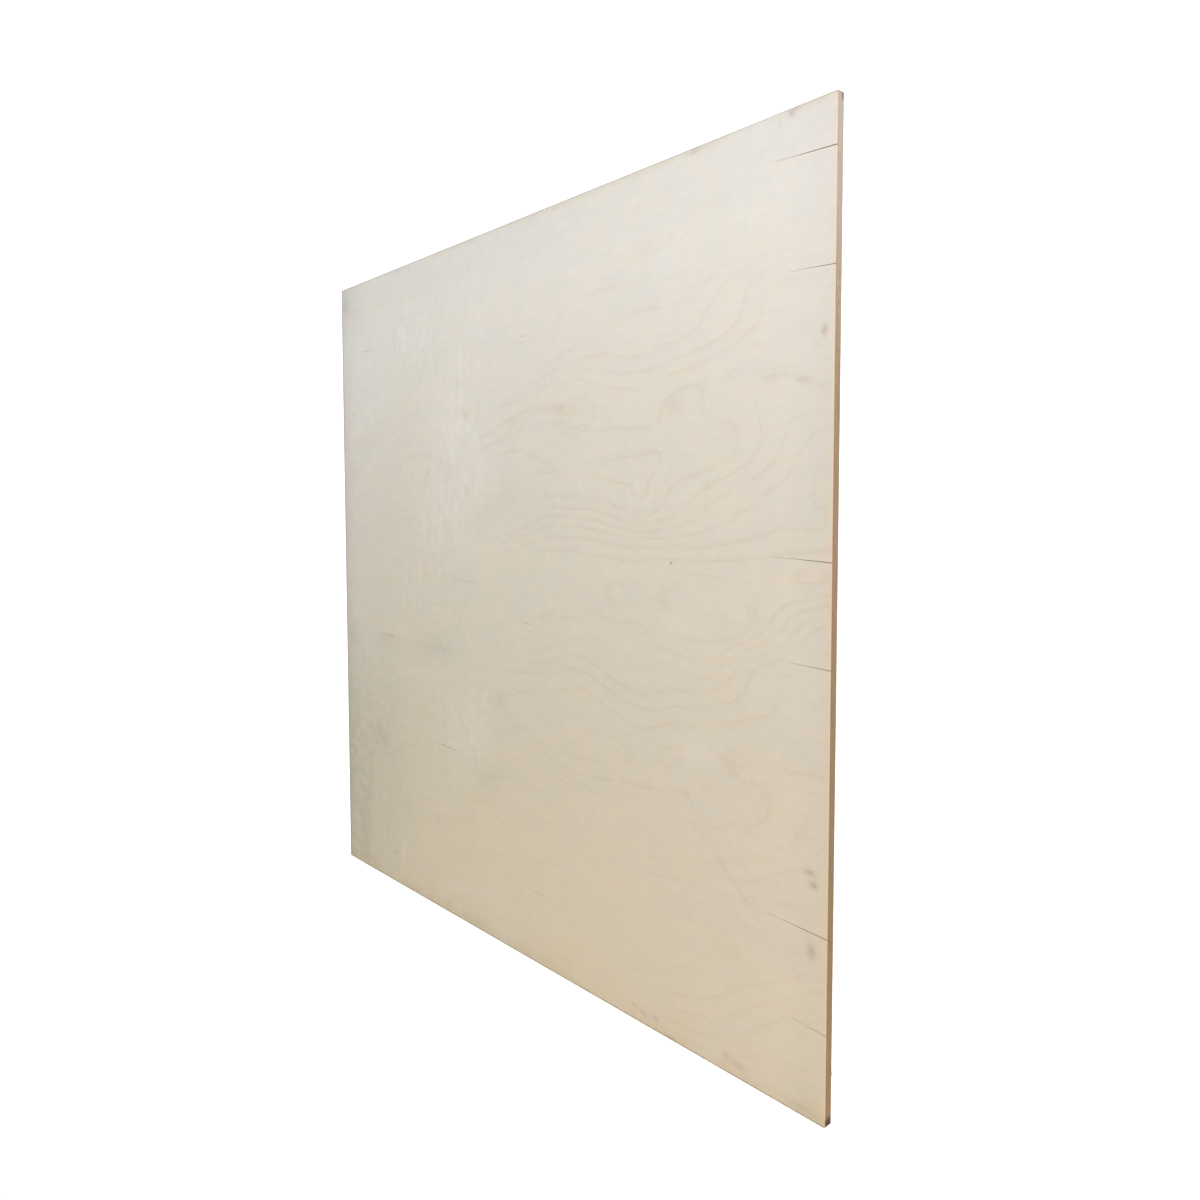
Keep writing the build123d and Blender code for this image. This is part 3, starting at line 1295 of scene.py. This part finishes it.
@dataclass(frozen=True)
class BakeMap:
    """Lays the sheet out flat: both faces, a strip for each edge and one for walls inside the wood.

    Args:
        low: The low corner of the sheet.
        high: The high corner of the sheet.
        rim: How far in from its outline a wall still belongs to an edge.
        deep: How far below the better face its deepest split still belongs to it.
        flat: How high above the floor the back may lie.
        upright: How nearly upright the normal of a face or of the back is, 1 being upright.
        lip: The share of an edge's strip that is kept for how far in a place lies.
        name: The name of the map.
        face: Where the better face lies on it.
        back: Where the back lies.
        rows: Where the four edges and the walls inside the wood lie.
    """

    low: np.ndarray
    high: np.ndarray
    rim: float = 3 * MM
    deep: float = 1.2 * MM
    flat: float = 0.1 * MM
    upright: float = 0.8
    lip: float = 0.04
    name: str = "OFBake"
    face: Sticker = Sticker(0.003, 0.155, 0.555, 0.842)
    back: Sticker = Sticker(0.564, 0.155, 0.433, 0.842)
    rows: tuple[Sticker, ...] = tuple(
        Sticker(0.003, 0.004 + 0.03 * i, 0.994, 0.026) for i in range(5)
    )

    def lay(self, mesh: bpy.types.Mesh) -> None:
        """Writes the map.

        Args:
            mesh: The sheet's mesh.
        """
        count = len(mesh.loops)
        corner = np.empty(count, np.int32)
        mesh.loops.foreach_get("vertex_index", corner)
        places = np.empty(len(mesh.vertices) * 3, np.float32)
        mesh.vertices.foreach_get("co", places)
        places = places.reshape(-1, 3)[corner]
        sides = np.array([len(polygon.vertices) for polygon in mesh.polygons])
        middle, normal = (
            np.repeat(np.array([getattr(polygon, name)[:] for polygon in mesh.polygons]), sides, 0)
            for name in ("center", "normal")
        )
        share = (places - self.low) / (self.high - self.low)
        half = self.high[:2]
        inset = half - np.abs(places[:, :2])
        end = (half - np.abs(middle[:, :2])).argmin(1) == 0
        depth = (half - np.abs(middle[:, :2])).min(1)
        inward = np.clip(inset.min(1) / self.rim, 0, 1)
        height = share[:, 2] * (1 - self.lip) + inward * self.lip
        up = (normal[:, 2] > self.upright) & (middle[:, 2] > self.high[2] - self.deep)
        down = (normal[:, 2] < -self.upright) & (middle[:, 2] < self.flat)
        wall = ~up & ~down
        spots = self.rows[4].at(share[:, 0], share[:, 2])
        for row, axis, positive in ((0, 0, True), (1, 0, False), (2, 1, True), (3, 1, False)):
            here = wall & (depth < self.rim) & (end == (axis == 0))
            here &= (middle[:, axis] > 0) == positive
            spots[here] = self.rows[row].at(share[:, 1 - axis], height)[here]
        spots[up] = self.face.at(share[:, 0], share[:, 1])[up]
        spots[down] = self.back.at(share[:, 0], share[:, 1])[down]
        mesh.uv_layers.new(name=self.name).data.foreach_set("uv", spots.astype(np.float32).ravel())


@dataclass
class PlywoodSheet:
    """The sheet itself, cut into cells that carry the figure.

    Args:
        cell: About how long a cell is.
        veneer: The thickness of a ply.
        sanding: What was sanded off each face.
        arris: How far from a face its worn arris may reach.
        skin: How far in from the outline a sawn face may lie.
        low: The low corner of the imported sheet.
        high: Its high corner.
    """

    cell: float = 0.0125
    veneer: float = 1.4 * MM
    sanding: float = 0.2 * MM
    arris: float = 0.05 * MM
    skin: float = 0.4 * MM
    low: Vector = field(default_factory=lambda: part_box(NODE)[0])
    high: Vector = field(default_factory=lambda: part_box(NODE)[1])

    @property
    def size(self) -> Vector:
        """The sheet's length, width and thickness."""
        return self.high - self.low

    def _cut(self, mesh: bmesh.types.BMesh) -> None:
        """Cuts the mesh along a grid of upright planes.

        Args:
            mesh: The mesh.
        """
        for axis in (0, 1):
            count = round(self.size[axis] / self.cell)
            normal = Vector((axis == 0, axis == 1, 0))
            for i in range(1, count):
                place = self.low + self.size * (i / count)
                bmesh.ops.bisect_plane(
                    mesh,
                    geom=mesh.verts[:] + mesh.edges[:] + mesh.faces[:],
                    dist=1e-7,
                    plane_co=place,
                    plane_no=normal,
                )

    def _surface(self, face: bmesh.types.BMFace) -> Surface:
        """Which surface a face of the mesh belongs to.

        Args:
            face: The face.

        Returns:
            Its surface.
        """
        middle = face.calc_center_median()
        if face.normal.z > 0.99 and middle.z > self.high.z - self.arris:
            return Surface.BETTER_FACE
        if face.normal.z < -0.99 and middle.z < self.low.z + self.arris:
            return Surface.BACK
        inset = min(self.high.x - abs(middle.x), self.high.y - abs(middle.y))
        return Surface.EDGE if inset < self.skin else Surface.TORN

    def _mesh(self) -> bpy.types.Mesh:
        """Takes the part's mesh, merges and cuts it and sorts it by surface.

        Returns:
            The new mesh.
        """
        mesh = bmesh.new()
        mesh.from_mesh(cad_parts[NODE].data)
        bmesh.ops.remove_doubles(mesh, verts=mesh.verts, dist=1e-6)
        even = math.radians(0.2)
        bmesh.ops.dissolve_limit(mesh, angle_limit=even, verts=mesh.verts, edges=mesh.edges)
        self._cut(mesh)
        mesh.normal_update()
        for face in mesh.faces:
            face.material_index = self._surface(face).value
            face.smooth = False
        made = bpy.data.meshes.new("birch_sheet")
        mesh.to_mesh(made)
        mesh.free()
        return made

    def _write(self, mesh: bpy.types.Mesh, name: str, values: np.ndarray) -> None:
        """Gives every vertex a number."""
        attribute = mesh.attributes.new(name, "FLOAT", "POINT")
        attribute.data.foreach_set("value", values.astype(np.float32))

    def _dress(self, mesh: bpy.types.Mesh) -> None:
        """Writes the figure and the patches of both faces into the mesh.

        Args:
            mesh: The sheet's mesh.
        """
        places = np.empty(len(mesh.vertices) * 3, np.float32)
        mesh.vertices.foreach_get("co", places)
        places = places.reshape(-1, 3).astype(float)
        x = (places[:, 0] - self.low.x) / MM
        y = (self.high.y - places[:, 1]) / MM
        upper = places[:, 2] > self.high.z / 2
        drawn = UPPER_RINGS + MIDDLE_RINGS + LOWER_RINGS + LEFT_RINGS
        face_figure = Figure(lines=drawn, swellings=FACE_SWELLINGS)
        back_figure = Figure(
            turn=610,
            crest=300,
            rings=4.6,
            level=1.3,
            sway=-1.6,
            calm=(-600, 0),
            swellings=BACK_SWELLINGS,
            faint=0.7,
        )
        face, back = face_figure.height(), back_figure.height()
        for name, of_face, of_back in (
            ("ring", face(x, y), back(x, y)),
            ("ring_slope", steepness(face, x, y), steepness(back, x, y)),
            ("ring_strength", face_figure.strength(x, y), back_figure.strength(x, y)),
        ):
            self._write(mesh, name, np.where(upper, of_face, of_back))
        for stain in Stain:
            cover = (
                sum(patch.cover(x, y) for patch in patches if patch.stain is stain)
                for patches in (FACE_PATCHES, BACK_PATCHES)
            )
            self._write(mesh, stain.value, np.where(upper, *cover))

    def build(self) -> bpy.types.Object:
        """Makes the dressed sheet in place of the plain solid.

        Returns:
            The sheet.
        """
        mesh = self._mesh()
        self._dress(mesh)
        BakeMap(np.array(self.low), np.array(self.high)).lay(mesh)
        sheet = bpy.data.objects.new("birch_sheet", mesh)
        bpy.context.scene.collection.objects.link(sheet)
        back = BirchVeneer("birch_back", linear(198, 184, 158), 1.5, 0.7, 80.0, False)
        for finish in (
            BirchVeneer(),
            back,
            SawnPlies(self.size.x, self.size.y, self.veneer, self.sanding),
            TornWood(self.size.x, self.size.y),
        ):
            mesh.materials.append(finish.build())
        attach(sheet, BODY)
        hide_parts(NODE)
        return sheet


class NodeGroup(NodeTree):
    """A geometry node tree that is being made."""

    def __init__(self, name: str) -> None:
        """Starts a tree that takes a geometry and gives one.

        Args:
            name: The tree's name.
        """
        super().__init__(bpy.data.node_groups.new(name, "GeometryNodeTree"))
        for way in ("INPUT", "OUTPUT"):
            self.tree.interface.new_socket("Geometry", in_out=way, socket_type="NodeSocketGeometry")

    def input(self, name: str, kind: str) -> str:
        """Declares an input of the tree and gives its identifier."""
        return self.tree.interface.new_socket(name, in_out="INPUT", socket_type=kind).identifier


@dataclass(frozen=True)
class Fray:
    """Fibres that stand out of a sawn edge.

    Args:
        path: The ends of the line that they stand on.
        aim: The way that they point.
        count: How many there are.
        length: How long the longest is.
        girth: How thick the thickest is.
        spread: How far they lean away from their aim.
        seed: Sets one edge apart from another.
    """

    path: tuple[tuple[float, float, float], tuple[float, float, float]]
    aim: tuple[float, float, float]
    count: int
    length: float = 1.8 * MM
    girth: float = 0.12 * MM
    spread: float = 0.5
    seed: int = 1

    def inputs(self) -> dict[str, object]:
        """What the node tree takes, by the names of its inputs."""
        names = ("aim", "count", "length", "girth", "spread", "seed")
        return {name.capitalize(): getattr(self, name) for name in names}


class FibreMaker:
    """Grows fibres on lines with one geometry node tree."""

    SLIDE = 8 * MM  # how far along its line a fibre may stand from its even place
    KINDS = {
        "Aim": "NodeSocketVector",
        "Count": "NodeSocketInt",
        "Length": "NodeSocketFloat",
        "Girth": "NodeSocketFloat",
        "Spread": "NodeSocketFloat",
        "Seed": "NodeSocketInt",
        "Material": "NodeSocketMaterial",
    }

    def __init__(self, material: bpy.types.Material) -> None:
        """Builds the tree.

        Args:
            material: What the fibres are made of.
        """
        self.material = material
        self.group = NodeGroup("fibres_on_a_line")
        self.names = {name: self.group.input(name, kind) for name, kind in self.KINDS.items()}
        self._build()

    def _build(self) -> None:
        """Spreads points along the line and puts a leaning, tapered fibre on each."""
        g = self.group
        given = g.node("NodeGroupInput").outputs
        line = g.node("GeometryNodeMeshToCurve", {}, {0: given["Geometry"]})
        spots = {"Curve": line.outputs[0], "Count": given["Count"]}
        points = g.node("GeometryNodeCurveToPoints", {"mode": "COUNT"}, spots)

        def random(low: float | tuple, high: float | tuple, step: int) -> Socket:
            """A number or a vector for each fibre.

            Args:
                low: The least that it may be.
                high: The most that it may be.
                step: What the seed is raised by.

            Returns:
                The number or the vector.
            """
            kind = "FLOAT_VECTOR" if isinstance(low, tuple) else "FLOAT"
            terms = {0: given["Seed"], 1: float(step)}
            seed = g.node("ShaderNodeMath", {"operation": "ADD"}, terms)
            first = 0 if kind == "FLOAT_VECTOR" else 2
            values = {first: low, first + 1: high, "Seed": seed.outputs[0]}
            made = g.node("FunctionNodeRandomValue", {"data_type": kind}, values)
            return made.outputs[0 if first == 0 else 1]

        def scaled(vector: Socket, factor: Socket | float) -> Socket:
            """A vector times a number."""
            values = {0: vector, "Scale": factor}
            return g.node("ShaderNodeVectorMath", {"operation": "SCALE"}, values).outputs[0]

        tangent = points.outputs["Tangent"]
        slid = scaled(tangent, random(-self.SLIDE, self.SLIDE, 11))
        offset = {"Geometry": points.outputs[0], "Offset": slid}
        moved = g.node("GeometryNodeSetPosition", {}, offset)
        lean = scaled(random((-1.0, -1.0, -1.0), (1.0, 1.0, 1.0), 23), given["Spread"])
        aim = g.node("ShaderNodeVectorMath", {"operation": "ADD"}, {0: given["Aim"], 1: lean})
        leaning = {"Vector": aim.outputs[0]}
        turned = g.node("FunctionNodeAlignRotationToVector", {"axis": "Z"}, leaning)
        taper = {"Vertices": 5, "Radius Top": 0.0, "Radius Bottom": given["Girth"]}
        taper["Depth"] = given["Length"]
        cone = g.node("GeometryNodeMeshCone", {"fill_type": "NGON"}, taper)
        size = random((0.5, 0.5, 0.15), (1.0, 1.0, 1.0), 37)
        placed = g.node(
            "GeometryNodeInstanceOnPoints",
            {},
            {
                "Points": moved.outputs[0],
                "Instance": cone.outputs["Mesh"],
                "Rotation": turned.outputs[0],
                "Scale": size,
            },
        )
        real = g.node("GeometryNodeRealizeInstances", {}, {"Geometry": placed.outputs[0]})
        wood = {"Geometry": real.outputs[0], "Material": given["Material"]}
        dressed = g.node("GeometryNodeSetMaterial", {}, wood)
        g.node("NodeGroupOutput", {}, {"Geometry": dressed.outputs[0]})

    def grow(self, name: str, frays: Sequence[Fray]) -> bpy.types.Object:
        """Grows fibres on several lines and joins them to one piece.

        Args:
            name: The name of the piece.
            frays: The lines and their fibres.

        Returns:
            The piece.
        """
        together = bmesh.new()
        for number, fray in enumerate(frays):
            line = bpy.data.meshes.new(f"{name}_line_{number}")
            line.from_pydata(list(fray.path), [(0, 1)], [])
            carrier = bpy.data.objects.new(f"{name}_{number}", line)
            bpy.context.scene.collection.objects.link(carrier)
            modifier = carrier.modifiers.new("fibres", "NODES")
            modifier.node_group = self.group.tree
            for key, value in (fray.inputs() | {"Material": self.material}).items():
                modifier[self.names[key]] = value
            seen = carrier.evaluated_get(bpy.context.evaluated_depsgraph_get())
            grown = bpy.data.meshes.new_from_object(seen)
            together.from_mesh(grown)
            bpy.data.objects.remove(carrier)
            bpy.data.meshes.remove(grown)
            bpy.data.meshes.remove(line)
        mesh = bpy.data.meshes.new(name)
        together.to_mesh(mesh)
        together.free()
        mesh.materials.append(self.material)
        piece = bpy.data.objects.new(name, mesh)
        bpy.context.scene.collection.objects.link(piece)
        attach(piece, BODY)
        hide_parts(NODE)
        return piece


@dataclass(frozen=True)
class FrayedEdges:
    """The fibres that the saw left on the arrises, and the splinters behind the split end.

    Args:
        low: The low corner of the sheet.
        high: The high corner of the sheet.
        fibres: How many fibres there are on each arris.
    """

    low: Vector
    high: Vector
    fibres: int = 130

    def _arrises(self) -> list[Fray]:
        """Lines fine fibres up along both arrises of all four edges.

        Returns:
            Two rows of fibres for each edge.
        """
        frays = []
        tuck = 0.5 * MM
        heights = (self.low.z + 0.6 * MM, self.high.z - 0.55 * MM)
        for seed, (axis, side) in enumerate(((0, 1), (0, -1), (1, 1), (1, -1))):
            reach = [self.high.x - FibreMaker.SLIDE, self.high.y - FibreMaker.SLIDE]
            aim = [0.0, 0.0, 0.0]
            aim[axis] = float(side)
            for height in heights:
                ends = []
                for way in (-1, 1):
                    place = [way * reach[0], way * reach[1], height]
                    place[axis] = side * (self.high[axis] - tuck)
                    ends.append(tuple(place))
                lean = 0.35 if axis == 0 else 0.5
                own = seed * 7 + int(height / MM)
                frays.append(Fray(tuple(ends), tuple(aim), self.fibres, spread=lean, seed=own))
        return frays

    def _splinters(self) -> list[Fray]:
        """Stands dark strands behind the lower half of the split end.

        Returns:
            Three bundles of strands.
        """
        strands = []
        aim = (0.22, 1.0, 0.0)
        x, height = self.high.x - 0.6 * MM, 1.6 * MM
        places = ((-470, 9, 3), (-593, 7, 3), (-682, 12, 5))
        for seed, (y_mm, length_mm, count) in enumerate(places, 50):
            ends = tuple((x, (y_mm + way) * MM, height) for way in (3, -3))
            strands.append(Fray(ends, aim, count, length_mm * MM, 0.5 * MM, 0.1, seed))
        return strands

    def build(self) -> list[bpy.types.Object]:
        """Makes the pieces.

        Returns:
            The fine fibres and the splinters.
        """
        pale = FibreMaker(Splinter("birch_fibre", linear(196, 176, 142)).build())
        dark = FibreMaker(Splinter("weathered_splinter", linear(92, 74, 58)).build())
        return [
            pale.grow("sawn_fibres", self._arrises()),
            dark.grow("end_splinters", self._splinters()),
        ]


# The studio


@dataclass(frozen=True)
class SoftLight:
    """A large soft light.

    Args:
        name: Its name.
        place: Where it stands.
        target: What it points at.
        size: The length of its square face.
        watts: Its power.
        colour: Its colour.
    """

    name: str
    place: tuple[float, float, float]
    target: tuple[float, float, float]
    size: float
    watts: float
    colour: tuple[float, float, float]

    def build(self) -> None:
        """Sets up the light."""
        lamp = bpy.data.lights.new(self.name, "AREA")
        lamp.size = self.size
        lamp.energy = self.watts
        lamp.color = self.colour
        light = bpy.data.objects.new(self.name, lamp)
        light.location = self.place
        light.visible_camera = False
        towards = Vector(self.target) - Vector(self.place)
        light.rotation_euler = towards.to_track_quat("-Z", "Y").to_euler()
        bpy.context.scene.collection.objects.link(light)


@dataclass(frozen=True)
class Studio:
    """The floor, the lights and the camera.

    Args:
        camera_place: Where the camera stands.
        camera_aim: The way it looks.
        camera_up: The way that is up in its picture.
        focal_share: Its focal length as a share of the picture's width.
        axis: Where its axis meets the picture of 1200 by 1200 pixels.
        floor_size: The length of the floor.
        floor_glow: How much light the floor gives of its own, as a light table does.
        ambient: The strength of the light from all round.
        ambient_colour: Its colour.
    """

    camera_place: tuple[float, float, float] = (1.5149, 0.1544, 1.1503)
    camera_aim: tuple[float, float, float] = (-0.738581, -0.055921, -0.671842)
    camera_up: tuple[float, float, float] = (-0.040395, 0.998434, -0.038696)
    focal_share: float = 909.14 / PHOTO_SIDE
    axis: tuple[float, float] = (602.92, 570.99)
    floor_size: float = 60.0
    floor_glow: float = 0.55
    ambient: float = 0.6
    ambient_colour: tuple[float, float, float, float] = (1.0, 0.96, 0.8, 1.0)

    def _camera(self) -> None:
        """Sets up the camera at the photograph's viewing angle."""
        data = bpy.data.cameras.new("camera")
        data.sensor_width = 36.0
        data.lens = self.focal_share * data.sensor_width
        data.shift_x = (PHOTO_SIDE / 2 - self.axis[0]) / PHOTO_SIDE
        data.shift_y = (self.axis[1] - PHOTO_SIDE / 2) / PHOTO_SIDE
        data.clip_start = 0.01
        data.clip_end = 200.0
        camera = bpy.data.objects.new("camera", data)
        back = -Vector(self.camera_aim).normalized()
        right = Vector(self.camera_up).cross(back).normalized()
        turned = Matrix((right, back.cross(right), back)).transposed().to_4x4()
        camera.matrix_world = Matrix.Translation(self.camera_place) @ turned
        bpy.context.scene.collection.objects.link(camera)
        bpy.context.scene.camera = camera

    def _floor(self) -> None:
        """Lays a plain pale floor under the sheet."""
        half = self.floor_size / 2
        ways = ((-1, -1), (1, -1), (1, 1), (-1, 1))
        mesh = bpy.data.meshes.new("floor")
        mesh.from_pydata([(x * half, y * half, -0.2 * MM) for x, y in ways], [], [(0, 1, 2, 3)])
        s = Shader("pale_floor")
        speckle = s.noise((40, 40, 40), 2, 70)
        colour = s.brighten((0.95, 0.95, 0.95, 1.0), 1 + speckle * 0.02)
        mesh.materials.append(s.finish(colour, 0.9, s.bump(speckle, 0.0001), 0.1, self.floor_glow))
        floor = bpy.data.objects.new("floor", mesh)
        bpy.context.scene.collection.objects.link(floor)

    def _world(self) -> None:
        """Fills the room with even light."""
        world = bpy.data.worlds.new("studio")
        world.use_nodes = True
        background = world.node_tree.nodes["Background"]
        background.inputs["Color"].default_value = self.ambient_colour
        background.inputs["Strength"].default_value = self.ambient
        bpy.context.scene.world = world

    def build(self, lights: Iterable[SoftLight]) -> None:
        """Sets up the room.

        Args:
            lights: The lights in it.
        """
        self._world()
        self._floor()
        for light in lights:
            light.build()
        self._camera()
        bpy.context.scene.view_settings.view_transform = "Standard"
        bpy.context.scene.view_settings.look = "None"


LIGHTS = (
    SoftLight("window", (1.1, 2.2, 1.3), (0.5, 0.6, 0.0), 1.2, 80.0, (0.55, 0.66, 1.0)),
    SoftLight("far_window", (-1.9, 1.7, 0.9), (-0.3, 0.5, 0.0), 1.2, 27.5, (0.47, 0.62, 1.0)),
    SoftLight("lamp", (1.9, -1.5, 1.3), (0.5, -0.5, 0.0), 1.2, 20.0, (1.0, 0.74, 0.64)),
)


def main() -> None:
    """Builds the pieces and the studio."""
    logging.basicConfig(level=logging.INFO, format="%(name)s: %(message)s")
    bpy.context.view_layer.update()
    sheet = PlywoodSheet().build()
    low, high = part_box(NODE)
    for piece in [sheet, *FrayedEdges(low, high).build()]:
        log.info("%s: %d faces", piece.name, len(piece.data.polygons))
    Studio().build(LIGHTS)


if __name__ == "__main__":
    main()
